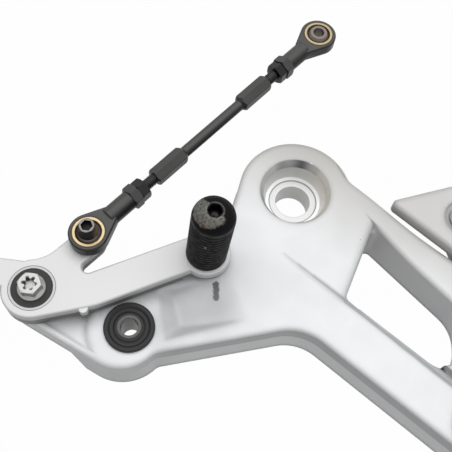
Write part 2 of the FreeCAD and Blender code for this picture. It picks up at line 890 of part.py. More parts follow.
def make_toe_peg():
    """Return the toe peg with a domed end, cut flush where it meets the lever."""
    middle = (peg_radius - peg_dome_round, peg_length - peg_dome_round)
    dome = arc_points(middle, peg_dome_round, 0, 90, 4)
    body = turned([(0, -1), (peg_radius, -1)] + dome + [(0, peg_length)])
    body = body.cut(six_lobes(peg_recess_radius, peg_length - peg_recess_depth, peg_length + 1))
    under = Part.makeBox(2 * reach, 2 * reach, reach, Vector(-reach, -reach, lever_top - reach))
    stub = Part.makeCylinder(peg_stub_radius, peg_stub_length + 1, Vector(0, 0, -peg_stub_length))
    return on_peg_axis(body).cut(under).fuse(on_peg_axis(stub)).removeSplitter()


def rod_round(radius, start, end):
    """Return a cylinder along the rod, from one distance to another."""
    return Part.makeCylinder(radius, end - start, Vector(start, 0, 0), Vector(1, 0, 0))


def along_rod(shape):
    """Return a shape made along Z turned to lie along the rod's own X."""
    lying = shape.copy()
    lying.rotate(origin, Vector(0, 1, 0), 90)
    return lying


def from_lower_ball(shape):
    """Return a shape made from the ball centre along X, set at the rod's lower end."""
    placed = shape.copy()
    placed.rotate(origin, up, rod_angle)
    placed.translate(at(ball_at, ball_height))
    return placed


def from_upper_ball(shape):
    """Return a shape made from the ball centre along X, set at the rod's upper end."""
    placed = shape.copy()
    placed.rotate(origin, up, 180)
    placed.translate(Vector(rod_length, 0, 0))
    return from_lower_ball(placed)


def rod_end():
    """Return a rod end: eye, shank and hexagonal collar."""
    half = rod_end_width / 2
    eye = bar(origin, rod_end_radius, Vector(shank_start, 0, 0), shank_radius, -half, half)
    rims = [edge for edge in eye.Edges if edge.BoundBox.ZLength < 0.01]
    eye = eye.makeChamfer(rod_end_chamfer, rims)
    collar = along_rod(chamfered_hexagon(collar_width, shank_length, collar_end))
    body = eye.fuse([rod_round(shank_radius, shank_start, shank_length + 1), collar])
    body = body.cut(disc(origin, race_radius, -reach, reach))
    thread = rod_round(stud_radius + thread_gap, collar_end - stud_depth, collar_end + 1)
    return body.cut(thread).removeSplitter()


def race():
    """Return the brass race that holds the joint ball between its two lips."""
    half = rod_end_width / 2
    seat = joint_ball_radius + running_gap
    end = math.degrees(math.asin((half - race_lip_depth) / seat))
    step = math.radians(end / 4)
    inside = arc_points((0, 0), seat / math.cos(step), -end, end, 4)
    outside = race_radius - press_gap
    lip = race_lip_radius
    return turned([(outside, half), (outside, -half), (lip, -half)] + inside + [(lip, half)])


def joint_ball():
    """Return the bored ball of a rod end."""
    half = joint_ball_width / 2
    end = math.degrees(math.asin(half / joint_ball_radius))
    outside = arc_points((0, 0), joint_ball_radius, -end, end, 4)
    return turned([(joint_bore_radius, -half)] + outside + [(joint_bore_radius, half)])


def lock_nut():
    """Return the nut that locks a rod end on its stud."""
    nut = along_rod(chamfered_hexagon(nut_width, collar_end, nut_end))
    return nut.cut(rod_round(stud_radius + thread_gap, 0, reach))


def stud():
    """Return the threaded stud between a rod end and the rod."""
    return rod_round(stud_radius, collar_end - stud_depth, rod_start + stud_depth)


def make_shift_rod():
    """Return the rod with its two hexagonal ends."""
    corner = rod_hex_width / math.sqrt(3)
    far_start = rod_length - rod_start
    hex_end = along_rod(hexagon(rod_hex_width, rod_start, rod_start + rod_hex_length))
    blank = turned([
        (0, rod_start),
        (rod_hex_width / 2, rod_start),
        (corner, rod_start + corner - rod_hex_width / 2),
        (corner, rod_start + rod_hex_length - rod_hex_chamfer),
        (rod_radius, rod_start + rod_hex_length),
        (0, rod_start + rod_hex_length),
    ])
    near = hex_end.common(along_rod(blank))
    near = near.cut(rod_round(stud_radius + thread_gap, 0, rod_start + stud_depth))
    far = near.copy()
    far.rotate(origin, up, 180)
    far.translate(Vector(rod_length, 0, 0))
    middle = rod_round(rod_radius, rod_start + rod_hex_length - 1, far_start - rod_hex_length + 1)
    return from_lower_ball(near.fuse([middle, far]).removeSplitter())


def make_ball_bolt():
    """Return the socket head bolt that holds the lower ball on the lever."""
    seat = lever_top + joint_ball_width
    top = seat + ball_bolt_head_height
    bolt = disc(ball_at, joint_bore_radius - press_gap, arm_bottom, seat + 1)
    head = Part.makeCone(ball_bolt_head_radius, ball_bolt_top_radius, ball_bolt_head_height, at(ball_at, seat))
    socket = hexagon(ball_bolt_socket_width, top - ball_bolt_socket_depth, top + 1).translated(ball_at)
    return head.fuse(bolt).cut(socket).removeSplitter()


def make_rubber_bush():
    """Return the flanged rubber bush."""
    inside = bush_sleeve_radius + press_gap
    top = face_height + bush_flange_height
    lip = bush_flange_radius - bush_lip_width
    bush = turned([
        (inside, bush_back),
        (bush_body_radius, bush_back),
        (bush_body_radius, face_height),
        (bush_flange_radius, face_height),
        (bush_flange_radius, top - bush_groove_depth / 2),
        (bush_flange_radius - bush_groove_depth / 2, top),
        (lip, top),
        (lip - bush_groove_depth, top - bush_groove_depth),
        (inside + bush_groove_depth * 2, top - bush_groove_depth),
        (inside + bush_groove_depth, top - bush_groove_depth / 4),
        (inside, top - bush_groove_depth / 4),
    ])
    return bush.translated(bush_at)


def make_bush_sleeve():
    """Return the steel sleeve in the rubber bush."""
    top = face_height + bush_flange_height
    sleeve = disc(bush_at, bush_sleeve_radius, bush_back - 1, top)
    return sleeve.cut(disc(bush_at, bush_sleeve_bore_radius, 0, reach))


def main():
    """Write every piece to its own file."""
    os.makedirs("parts", exist_ok=True)
    seal_low = lever_top - seal_depth - seal_thickness
    pieces = {
        "bracket_casting": make_casting(),
        "heel_guard": make_heel_guard(),
        "heel_guard_screws": make_guard_screws(),
        "rubber_bush": make_rubber_bush(),
        "bush_sleeve": make_bush_sleeve(),
        "pivot_bolt": make_pivot_bolt(),
        "pivot_sleeve": make_pivot_sleeve(),
        "bearing_inner_ring": make_inner_ring(),
        "bearing_outer_ring": make_outer_ring(),
        "bearing_seal_front": make_seal(seal_low),
        "bearing_seal_rear": make_seal(bearing_bottom + seal_depth),
        "bearing_balls": make_balls(),
        "bearing_cage": make_cage(),
        "shift_lever": make_lever(),
        "toe_peg": make_toe_peg(),
        "ball_bolt": make_ball_bolt(),
        "lower_ball": from_lower_ball(joint_ball()),
        "lower_race": from_lower_ball(race()),
        "lower_rod_end": from_lower_ball(rod_end()),
        "lower_lock_nut": from_lower_ball(lock_nut()),
        "lower_stud": from_lower_ball(stud()),
        "shift_rod": make_shift_rod(),
        "upper_stud": from_upper_ball(stud()),
        "upper_lock_nut": from_upper_ball(lock_nut()),
        "upper_rod_end": from_upper_ball(rod_end()),
        "upper_race": from_upper_ball(race()),
        "upper_ball": from_upper_ball(joint_ball()),
    }
    for name, shape in pieces.items():
        shape.exportStep("parts/" + name + ".step")
        print(name, shape.isValid(), len(shape.Solids), round(shape.Volume, 1))


main()
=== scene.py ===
"""Dress the footrest bracket and its gear shift lever, and set them in a plain studio."""

import json
import logging
import math
from dataclasses import dataclass, field
from enum import Enum
from typing import Any, Iterator, Optional, Union

import bpy
import numpy as np
from mathutils import Matrix, Vector


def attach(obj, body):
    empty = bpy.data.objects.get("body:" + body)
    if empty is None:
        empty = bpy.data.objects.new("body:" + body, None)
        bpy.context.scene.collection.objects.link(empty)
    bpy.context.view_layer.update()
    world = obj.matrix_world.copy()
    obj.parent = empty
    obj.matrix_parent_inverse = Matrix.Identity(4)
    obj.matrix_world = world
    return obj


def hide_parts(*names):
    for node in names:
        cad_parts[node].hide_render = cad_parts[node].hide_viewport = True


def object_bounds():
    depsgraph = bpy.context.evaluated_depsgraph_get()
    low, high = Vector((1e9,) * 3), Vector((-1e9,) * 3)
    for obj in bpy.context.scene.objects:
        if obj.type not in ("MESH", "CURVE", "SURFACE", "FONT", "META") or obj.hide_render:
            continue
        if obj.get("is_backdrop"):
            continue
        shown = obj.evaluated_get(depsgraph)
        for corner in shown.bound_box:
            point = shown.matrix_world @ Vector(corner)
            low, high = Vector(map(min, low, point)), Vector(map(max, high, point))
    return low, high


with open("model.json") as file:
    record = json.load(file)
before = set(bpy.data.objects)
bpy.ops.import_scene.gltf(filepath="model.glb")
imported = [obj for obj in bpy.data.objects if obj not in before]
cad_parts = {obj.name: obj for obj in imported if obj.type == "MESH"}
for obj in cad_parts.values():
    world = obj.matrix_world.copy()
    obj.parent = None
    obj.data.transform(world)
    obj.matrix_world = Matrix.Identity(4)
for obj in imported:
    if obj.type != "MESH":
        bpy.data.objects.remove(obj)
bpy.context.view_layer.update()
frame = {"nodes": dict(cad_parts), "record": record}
MM = 0.001
LOG = logging.getLogger("bracket")

Number = Union[float, "Value"]
Color = tuple[float, float, float]
Point = tuple[float, float]
Spot = tuple[float, float, float]

# Places in millimetres: the joints as the frame gives them, and the foot of the toe peg
JOINTS = frame["record"]["behaviour"]["joints"]
JOINT_AT = {joint["name"]: tuple(value / MM for value in joint["pos_m"]) for joint in JOINTS}
PIVOT_AT: Point = JOINT_AT["shift_lever_pivot"][:2]
LOWER_BALL_AT: Spot = JOINT_AT["shift_rod_swing"]
UPPER_BALL_AT: Spot = JOINT_AT["upper_ball_swivel"]
PEG_FOOT: Spot = (-41.0, -41.7, 30.0)
PEG_LEAN = 3.0


class RodEnd(Enum):
    """The ends of the shift rod, by the stud that sits there."""

    LOWER = "lower_stud"
    UPPER = "upper_stud"


class Value:
    """A socket of a shader graph, with arithmetic that adds Math nodes."""

    def __init__(self, graph: "Graph", socket: bpy.types.NodeSocket) -> None:
        """Keep the graph and the socket."""
        self.graph = graph
        self.socket = socket

    def sibling(self, output: str) -> "Value":
        """Return another output of the same node."""
        return Value(self.graph, self.socket.node.outputs[output])

    def math(self, operation: str, *others: Number, clamp: bool = False) -> "Value":
        """Return the result of a Math node.

        Args:
            operation: The Math node's operation.
            others: The second and third inputs.
            clamp: Whether the result is held between 0 and 1.

        Returns:
            The node's output.
        """
        inputs = dict(enumerate((self,) + others))
        return self.graph.node("ShaderNodeMath", {"operation": operation, "use_clamp": clamp}, inputs)

    def flipped(self, operation: str, first: Number) -> "Value":
        """Return the result of a Math node whose first input is another value."""
        return self.graph.node("ShaderNodeMath", {"operation": operation}, {0: first, 1: self})

    def __add__(self, other: Number) -> "Value":
        """Return the sum."""
        return self.math("ADD", other)

    __radd__ = __add__

    def __sub__(self, other: Number) -> "Value":
        """Return the difference."""
        return self.math("SUBTRACT", other)

    def __rsub__(self, other: Number) -> "Value":
        """Return the difference from another value."""
        return self.flipped("SUBTRACT", other)

    def __mul__(self, other: Number) -> "Value":
        """Return the product."""
        return self.math("MULTIPLY", other)

    __rmul__ = __mul__

    def __truediv__(self, other: Number) -> "Value":
        """Return the quotient."""
        return self.math("DIVIDE", other)

    def __rtruediv__(self, other: Number) -> "Value":
        """Return another value divided by this one."""
        return self.flipped("DIVIDE", other)

    def __pow__(self, other: Number) -> "Value":
        """Return the power."""
        return self.math("POWER", other)

    def __rpow__(self, other: Number) -> "Value":
        """Return another value to the power of this one."""
        return self.flipped("POWER", other)

    def held(self) -> "Value":
        """Return the value held between 0 and 1."""
        return self.math("MULTIPLY", 1.0, clamp=True)

    def above(self, edge: Number, soft: float) -> "Value":
        """Return a mask that rises from 0 to 1 over a soft width centred on an edge."""
        return ((self - edge) / soft + 0.5).held()

    def below(self, edge: Number, soft: float) -> "Value":
        """Return a mask that falls from 1 to 0 over a soft width centred on an edge."""
        return 1.0 - self.above(edge, soft)

    def within(self, low: Number, high: Number, soft: float) -> "Value":
        """Return a mask that is 1 between two edges."""
        return self.above(low, soft) * self.below(high, soft)


class Graph:
    """The node tree of a material or of the world."""

    def __init__(self, owner: Union[bpy.types.Material, bpy.types.World]) -> None:
        """Start an empty tree."""
        owner.use_nodes = True
        self.owner = owner
        self.tree = owner.node_tree
        self.tree.nodes.clear()

    def node(
        self,
        kind: str,
        settings: Optional[dict[str, Any]] = None,
        inputs: Optional[dict[Union[int, str], Any]] = None,
        output: Union[int, str] = 0,
    ) -> Optional[Value]:
        """Add a node.

        Args:
            kind: The node's type.
            settings: Attributes to set first.
            inputs: Numbers, colours or links by socket name or number.
            output: Name or number of the output to return.

        Returns:
            The chosen output, or None where the node has none.
        """
        made = self.tree.nodes.new(kind)
        for name, setting in (settings or {}).items():
            setattr(made, name, setting)
        for name, value in (inputs or {}).items():
            socket = made.inputs[name]
            if isinstance(value, Value):
                self.tree.links.new(value.socket, socket)
            elif isinstance(value, tuple) and socket.type == "RGBA":
                socket.default_value = value + (1.0,)
            elif value is not None:
                socket.default_value = value
        return Value(self, made.outputs[output]) if made.outputs else None

    def place(self) -> Value:
        """Return the object coordinates, which are the part's own frame in metres."""
        return self.node("ShaderNodeTexCoord", output="Object")

    def noise(self, size: float, detail: float = 3.0, rough: float = 0.5) -> Value:
        """Return a grey noise whose grains are about a given size in millimetres."""
        inputs = {"Vector": self.place(), "Scale": 1 / (size * MM), "Detail": detail, "Roughness": rough}
        return self.node("ShaderNodeTexNoise", inputs=inputs)

    def specks(self, spacing: float, radius: float, share: float) -> Value:
        """Return a mask of round specks, one in some of the cells of a random grid."""
        inputs = {"Vector": self.place(), "Scale": 1 / (spacing * MM)}
        near = self.node("ShaderNodeTexVoronoi", inputs=inputs, output="Distance")
        pick = self.node("ShaderNodeSeparateXYZ", inputs={0: near.sibling("Color")})
        return near.below(radius / spacing, 0.4 * radius / spacing) * pick.below(share, 0.01)

    def mix(self, factor: Number, first: Any, second: Any) -> Value:
        """Return a mix of two colours."""
        return self.node("ShaderNodeMix", {"data_type": "RGBA"}, {0: factor, 6: first, 7: second}, 2)

    def bump(self, height: Value, strength: float, distance: float, normal: Optional[Value] = None) -> Value:
        """Return a normal bent by a height, whose full range is a distance in millimetres."""
        inputs = {"Height": height, "Strength": strength, "Distance": distance * MM, "Normal": normal}
        return self.node("ShaderNodeBump", inputs=inputs)

    def soft_edges(self, radius: float) -> Value:
        """Return a normal that rounds the edges by a radius in millimetres."""
        return self.node("ShaderNodeBevel", {"samples": 8}, {"Radius": radius * MM})

    def steep(self, normal: Value, edge: float = 0.72, soft: float = 0.45) -> Value:
        """Return a mask of the faces that stand up, from a normal."""
        return self.node("ShaderNodeSeparateXYZ", inputs={0: normal}, output="Z").below(edge, soft)

    def close(self, **inputs: Any) -> bpy.types.Material:
        """Feed a Principled shader and return the finished material.

        Args:
            inputs: Values by socket name, with underscores for spaces.

        Returns:
            The material.
        """
        named = {name.replace("_", " "): value for name, value in inputs.items()}
        shader = self.node("ShaderNodeBsdfPrincipled", inputs=named)
        self.node("ShaderNodeOutputMaterial", inputs={"Surface": shader})
        return self.owner


class Place:
    """The part's own coordinates in millimetres, inside one graph."""

    def __init__(self, graph: Graph) -> None:
        """Split the object coordinates."""
        split = graph.node("ShaderNodeSeparateXYZ", inputs={0: graph.place()}, output="X")
        self.x = split * (1 / MM)
        self.y = split.sibling("Y") * (1 / MM)
        self.z = split.sibling("Z") * (1 / MM)

    def radius(self, center: Point = (0.0, 0.0)) -> Value:
        """Return the distance in plan from a point."""
        across = self.x - center[0]
        along = self.y - center[1]
        return (across * across + along * along) ** 0.5

    def off_line(self, first: Point, last: Point) -> Value:
        """Return the distance in plan from the straight line between two points."""
        start = Vector(first)
        way = Vector(last) - start
        run = (((self.x - start.x) * way.x + (self.y - start.y) * way.y) / way.length_squared).held()
        across = self.x - (run * way.x + start.x)
        along = self.y - (run * way.y + start.y)
        return (across * across + along * along) ** 0.5


def scaled(color: Color, factor: float) -> Color:
    """Return a colour made lighter or darker."""
    return (color[0] * factor, color[1] * factor, color[2] * factor)


@dataclass(frozen=True)
class PlainFinish:
    """A finish of one colour with a soft mottle, soft edges, a fine grain and painted shade on the faces that
    stand up.
    """

    name: str
    color: Color
    metallic: float
    roughness: float
    grain: float = 0.1
    edge: float = 0.25
    mottle: float = 0.06
    shine: float = 0.5
    shade: float = 0.0
    steep_edge: float = 0.72

    def material(self) -> bpy.types.Material:
        """Return the finish as a material, with painted shade darkening the faces that stand up."""
        graph = Graph(bpy.data.materials.new(self.name))
        cloud = graph.noise(6.0, 4.0)
        tone = graph.mix(cloud, scaled(self.color, 1 - self.mottle * 2), scaled(self.color, 1 + self.mottle))
        grain = graph.noise(0.3, 2.0)
        rounded = graph.soft_edges(self.edge)
        # Painted shade: faces that stand up are darkened by the shade share, as if lit from above.
        standing_shade = graph.steep(rounded, self.steep_edge) * self.shade
        return graph.close(
            Base_Color=graph.mix(standing_shade, tone, scaled(self.color, 0.1)),
            Roughness=cloud * 0.12 + (self.roughness - 0.06),
            Metallic=self.metallic,
            Specular_IOR_Level=self.shine,
            Normal=graph.bump(grain, self.grain, 0.05, rounded),
        )


@dataclass(frozen=True)
class Stroke:
    """A ragged mark along a straight line in plan, in millimetres: a rub mark or a band of painted shade."""

    first: Point
    last: Point
    width: float
    strength: float
    soft: float = 0.6
    grain: float = 1.2
    color: Color = (0.14, 0.14, 0.15)

    def mask(self, graph: Graph, place: Place) -> Value:
        """Return the mark as a mask."""
        wander = (graph.noise(self.grain) - 0.5) * (self.width * 1.7)
        ragged = place.off_line(self.first, self.last) + wander
        return ragged.below(self.width, self.width * self.soft) * self.strength


@dataclass(frozen=True)
class CastFinish:
    """Satin silver paint over a fine cast grain, with a machined bore, specks and rub marks; painted shade on
    the walls, towards the upper arm and in bands, and painted reflections in the bore.
    """

    name: str
    color: Color
    machined: Color = (0.84, 0.84, 0.85)
    grey: Color = (0.74, 0.74, 0.73)
    reflected_beige: Color = (0.80, 0.77, 0.71)
    painted_falloff: Color = (0.49, 0.475, 0.45)
    mark: Color = (0.14, 0.14, 0.15)
    bore_radius: float = 18.45
    bolt_bore: float = 9.25
    seat_top: float = 13.7
    wall_foot: float = 14.3
    groove: Point = (12.1, 12.8)
    cone_foot: float = 21.9
    cone_radius: float = 16.0
    falloff_start: float = 3.0
    falloff_run: float = 54.0
    edge: float = 4.6
    turned_edge: float = 0.5
    shade: float = 0.62
    parting: float = 9.5
    belly: Point = (-60.0, -66.0)
    spots: tuple[Point, ...] = ()
    spot_radius: float = 10.0
    strokes: tuple[Stroke, ...] = ()
    chip: Optional[Point] = None
    chip_radius: float = 0.9

    def paint(self, graph: Graph, place: Place, cloud: Value) -> Value:
        """Return the painted colour, darker and warmer towards the boss and upper arm as painted shade, with
        its specks, marks and bands of painted shade.

        Args:
            graph: The material's graph.
            place: The part's coordinates.
            cloud: A soft noise that mottles the paint.

        Returns:
            The colour.
        """
        # Painted shade: the paint grows darker towards the boss and upper arm, where the light falls off.
        upper = (place.y + place.x * 0.35).above(self.falloff_start, self.falloff_run)
        tone = graph.mix(upper, self.color, self.painted_falloff)
        tone = graph.mix(cloud.above(0.5, 0.6) * 0.12, tone, scaled(self.color, 0.5))
        tone = graph.mix(graph.specks(11.0, 0.3, 0.45), tone, scaled(self.mark, 1.4))
        for spot in self.spots:
            # Painted shade in the spot-faced recess round each guard screw.
            recess_shade = place.radius(spot).below(self.spot_radius, 1.5) * 0.75
            tone = graph.mix(recess_shade, tone, scaled(self.grey, 0.5))
        # Rub marks, and bands of painted shade by the bush, along the crease and along the window's edge.
        for stroke in self.strokes:
            tone = graph.mix(stroke.mask(graph, place), tone, stroke.color)
        if self.chip:
            tone = graph.mix(place.radius(self.chip).below(self.chip_radius, 0.3), tone, (0.9, 0.9, 0.9))
        return tone

    def bare(self, graph: Graph, place: Place, radius: Value) -> Value:
        """Return the turned metal of the bore: bright seat, grey walls and a cone, with painted reflections
        on the walls and the cone.

        Args:
            graph: The material's graph.
            place: The part's coordinates.
            radius: Distance from the bore's axis.

        Returns:
            The colour.
        """
        turning = ((place.z * 0.3 + radius) * 7.0).math("SINE") * 0.5 + 0.5
        tone = graph.mix(turning, scaled(self.machined, 0.86), self.machined)
        # Painted reflections: the walls a little darker at the far side and light on the right; the cone
        # darker on its near side, light on the right and streaked dark at the far side.
        far = place.y / (radius + 0.1)
        right = place.x / (radius + 0.1)
        wall = place.z.above(self.wall_foot, 0.3)
        tone = graph.mix(wall, tone, graph.mix(far.above(0.3, 1.2), self.grey, scaled(self.grey, 0.95)))
        tone = graph.mix(wall * right.above(0.5, 0.8), tone, scaled(self.reflected_beige, 1.15))
        cone = graph.mix(far.above(-0.15, 0.5), scaled(self.grey, 0.5), scaled(self.grey, 0.85))
        cone = graph.mix(right.above(0.55, 0.7), cone, self.reflected_beige)
        dark_reflection = (right * 9.0 + graph.noise(30.0)).math("SINE") * 0.25 + 0.75
        cone = graph.mix((far - right * right * 0.5).above(0.72, 0.5) * dark_reflection, cone, self.mark)
        tone = graph.mix(place.z.above(self.cone_foot, 0.3) * radius.above(self.cone_radius, 0.2), tone, cone)
        seat = place.z.below(self.seat_top, 0.1) * radius.above(self.bolt_bore + 0.05, 0.2)
        tone = graph.mix(seat * 0.5, tone, scaled(self.grey, 0.6))
        groove = radius.within(*self.groove, 0.3) * place.z.below(self.wall_foot - 0.1, 0.3)
        tone = graph.mix(groove, tone, scaled(self.grey, 0.45))
        return graph.mix(radius.below(self.bolt_bore, 0.1), tone, scaled(self.grey, 0.8))

    def material(self) -> bpy.types.Material:
        """Return the finish as a material."""
        graph = Graph(bpy.data.materials.new(self.name))
        place = Place(graph)
        radius = place.radius()
        machined = radius.below(self.bore_radius, 0.15)
        cloud = graph.noise(14.0, 4.0)
        rounded = graph.mix(machined, graph.soft_edges(self.edge), graph.soft_edges(self.turned_edge))
        # Painted shade: faces that stand up are darkened, most on the belly wall above the parting line and
        # least on the belly wall below it.
        low = place.z.below(self.parting, 0.4)
        belly = place.x.above(self.belly[0], 20.0) * place.y.below(self.belly[1], 2.0)
        wall = graph.steep(rounded, 0.62, 0.45) * (belly * (0.55 - low * 0.9) + 0.58)
        paint = graph.mix(wall * self.shade, self.paint(graph, place, cloud), scaled(self.color, 0.35))
        return graph.close(
            Base_Color=graph.mix(machined, paint, self.bare(graph, place, radius)),
            Roughness=0.45 - machined * 0.08 + (cloud - 0.5) * 0.08,
            Metallic=0.12 + machined * 0.2,
            Normal=graph.bump(graph.noise(0.35, 2.0), 0.3, 0.03, rounded),
        )


@dataclass(frozen=True)
class LeverFinish:
    """Smooth pale silver, with a thin dark seam round the bearing seat, painted shade on the faces that stand
    up and a dark band of painted shade on the lower part of the walls.
    """

    name: str
    color: Color = (0.79, 0.79, 0.79)
    seam: Color = (0.08, 0.08, 0.08)
    underside_shade: Color = (0.15, 0.15, 0.145)
    pivot: Point = PIVOT_AT
    seam_radius: float = 11.15
    parting: float = 25.8
    shade: float = 0.4

    def material(self) -> bpy.types.Material:
        """Return the finish as a material."""
        graph = Graph(bpy.data.materials.new(self.name))
        place = Place(graph)
        cloud = graph.noise(20.0, 3.0)
        tone = graph.mix(cloud, scaled(self.color, 0.96), scaled(self.color, 1.03))
        seam = place.radius(self.pivot).below(self.seam_radius, 0.12)
        rounded = graph.soft_edges(0.8)
        # Painted shade on the faces that stand up.
        tone = graph.mix(graph.steep(rounded) * self.shade, tone, scaled(self.color, 0.35))
        # Painted shade: a dark band on the lower part of the walls, below the parting height.
        tone = graph.mix(place.z.below(self.parting, 0.3), tone, self.underside_shade)
        return graph.close(
            Base_Color=graph.mix(seam, tone, self.seam),
            Roughness=cloud * 0.08 + 0.42,
            Metallic=0.1,
            Normal=graph.bump(graph.noise(0.3, 2.0), 0.12, 0.03, rounded),
        )


@dataclass(frozen=True)
class PegFinish:
    """Black coating, rubbed on the ridges and worn to grey metal on the dome's left and front."""

    name: str
    black: Color = (0.006, 0.006, 0.007)
    rubbed: Color = (0.062, 0.062, 0.064)
    worn: Color = (0.175, 0.175, 0.158)
    tan: Color = (0.20, 0.15, 0.12)
    foot: Spot = PEG_FOOT
    lean: float = PEG_LEAN
    top: Point = (-38.6, -41.7)
    worn_way: Point = (-0.62, -0.78)
    worn_height: float = 74.4
    rim_height: float = 75.2
    rim_width: float = 0.8
    crest: float = 9.72
    recess: float = 3.5
    glint_radius: float = 1.6
    chip: Spot = (-41.2, -51.6, 57.0)

    def wear(self, graph: Graph, place: Place) -> Value:
        """Return the mask of the worn metal.

        Args:
            graph: The material's graph.
            place: The part's coordinates.

        Returns:
            The mask.
        """
        ragged = (graph.noise(2.6, 5.0, 0.65) - 0.5) * 5.0
        side = (place.x - self.top[0]) * self.worn_way[0] + (place.y - self.top[1]) * self.worn_way[1]
        radius = place.radius(self.top)
        flank = (place.z + ragged * 0.5 - (place.x - self.top[0]) * 0.16).above(self.worn_height, 0.6)
        facing = (side + ragged * 0.5).above(-0.6, 0.9)
        around = radius.within(self.recess, self.recess + self.rim_width, 0.3)
        rim = around * place.z.above(self.rim_height, 0.5)
        worn = (flank * facing).math("MAXIMUM", rim * 0.6) * radius.above(self.recess, 0.2)
        return worn * graph.noise(1.1, 4.0, 0.7).above(0.40, 0.25)

    def material(self) -> bpy.types.Material:
        """Return the finish as a material."""
        graph = Graph(bpy.data.materials.new(self.name))
        place = Place(graph)
        worn = self.wear(graph, place)
        tone = graph.mix(graph.noise(0.9, 4.0, 0.7), scaled(self.worn, 0.35), scaled(self.worn, 1.5))
        tone = graph.mix(graph.noise(5.0).above(0.56, 0.1) * 0.6, tone, self.tan)
        axis = place.x - (place.z - self.foot[2]) * math.tan(math.radians(self.lean)) - self.foot[0]
        across = place.y - self.foot[1]
        outside = (axis * axis + across * across).above(self.crest ** 2, 4.0)
        coat = graph.mix(outside * graph.noise(3.0, 4.0).above(0.4, 0.3), self.black, self.rubbed)
        aside = (place.x - self.chip[0]) ** 2.0 + (place.y - self.chip[1]) ** 2.0
        off = aside + (place.z - self.chip[2]) ** 2.0
        glint = place.radius(self.top).below(self.glint_radius, 0.8) * graph.noise(1.2).above(0.45, 0.1)
        color = graph.mix(worn, graph.mix(glint, coat, scaled(self.worn, 0.7)), tone)
        return graph.close(
            Base_Color=graph.mix(off.below(0.45, 0.3), color, (0.75, 0.75, 0.75)),
            Roughness=0.46 + worn * 0.02,
            Metallic=worn * 0.4,
            Specular_IOR_Level=0.06,
            Normal=graph.bump(graph.noise(0.5), 0.25, 0.03, graph.soft_edges(0.12)),
        )


@dataclass(frozen=True)
class SocketFinish:
    """Black bolt head whose top is worn to grey round the socket, with a painted sheen on its right side."""

    name: str
    center: Point = LOWER_BALL_AT[:2]
    black: Color = (0.013, 0.013, 0.014)
    worn: Color = (0.30, 0.28, 0.27)
    brown_sheen: Color = (0.15, 0.11, 0.09)
    top: float = 44.9
    outer: float = 3.6
    inner: float = 2.8
    flare: float = 3.9

    def material(self) -> bpy.types.Material:
        """Return the finish as a material."""
        graph = Graph(bpy.data.materials.new(self.name))
        place = Place(graph)
        radius = place.radius(self.center) + (graph.noise(1.0) - 0.5) * 0.7
        worn = radius.within(self.inner - 0.3, self.outer, 0.3) * place.z.above(self.top, 0.1)
        # Painted sheen: a reddish reflection on the right side of the head.
        side = (place.x - self.center[0]).above(self.outer, 1.6) * radius.above(self.flare, 0.5)
        coat = graph.mix(side * 0.8, self.black, self.brown_sheen)
        return graph.close(
            Base_Color=graph.mix(worn * 0.8, coat, self.worn),
            Roughness=0.42,
            Metallic=worn * 0.5,
            Specular_IOR_Level=0.15,
            Normal=graph.soft_edges(0.2),
        )


@dataclass(frozen=True)
class RaceFinish:
    """Brass race, bright only on a narrow ring round each ball."""

    name: str
    brass: Color = (0.44, 0.35, 0.19)
    dark: Color = (0.075, 0.058, 0.047)
    centers: tuple[Point, ...] = (LOWER_BALL_AT[:2], UPPER_BALL_AT[:2])
    inner: float = 6.5
    outer: float = 7.65

    def material(self) -> bpy.types.Material:
        """Return the finish as a material."""
        graph = Graph(bpy.data.materials.new(self.name))
        place = Place(graph)
        radius = place.radius(self.centers[0])
        for center in self.centers[1:]:
            radius = radius.math("MINIMUM", place.radius(center))
        bright = (radius + (graph.noise(2.0) - 0.5) * 0.3).within(self.inner, self.outer, 0.15)
        return graph.close(
            Base_Color=graph.mix(bright, self.dark, self.brass),
            Roughness=0.34,
            Metallic=bright * 0.85,
            Specular_IOR_Level=0.3,
            Normal=graph.soft_edges(0.15),
        )


@dataclass(frozen=True)
class BoltFinish:
    """Dull zinc, with painted shade in the six lobes of the key recess and on the faces that stand up."""

    name: str
    color: Color = (0.58, 0.575, 0.57)
    dark: Color = (0.07, 0.07, 0.07)
    center: Point = PIVOT_AT
    lobes: int = 6
    lobe_at: float = 2.85
    lobe_radius: float = 0.85
    top: float = 33.0

    def material(self) -> bpy.types.Material:
        """Return the finish as a material."""
        graph = Graph(bpy.data.materials.new(self.name))
        place = Place(graph)
        # Painted shade: the six lobes of the key recess, painted dark on the top face.
        lobe = None
        for index in range(self.lobes):
            turn = 2 * math.pi * index / self.lobes
            across = self.center[0] + self.lobe_at * math.cos(turn)
            along = self.center[1] + self.lobe_at * math.sin(turn)
            mask = place.radius((across, along)).below(self.lobe_radius, 0.4)
            lobe = lobe.math("MAXIMUM", mask) if lobe else mask
        cloud = graph.noise(5.0, 4.0)
        tone = graph.mix(cloud, scaled(self.color, 0.85), scaled(self.color, 1.08))
        rounded = graph.soft_edges(0.3)
        # Painted shade on the faces that stand up.
        tone = graph.mix(graph.steep(rounded) * 0.45, tone, scaled(self.color, 0.3))
        return graph.close(
            Base_Color=graph.mix(lobe * place.z.above(self.top, 0.2), tone, self.dark),
            Roughness=cloud * 0.1 + 0.38,
            Metallic=0.4,
            Normal=graph.bump(graph.noise(0.4), 0.15, 0.04, rounded),
        )


# Grey of the bands of painted shade
SHADE_GREY: Color = (0.27, 0.30, 0.31)
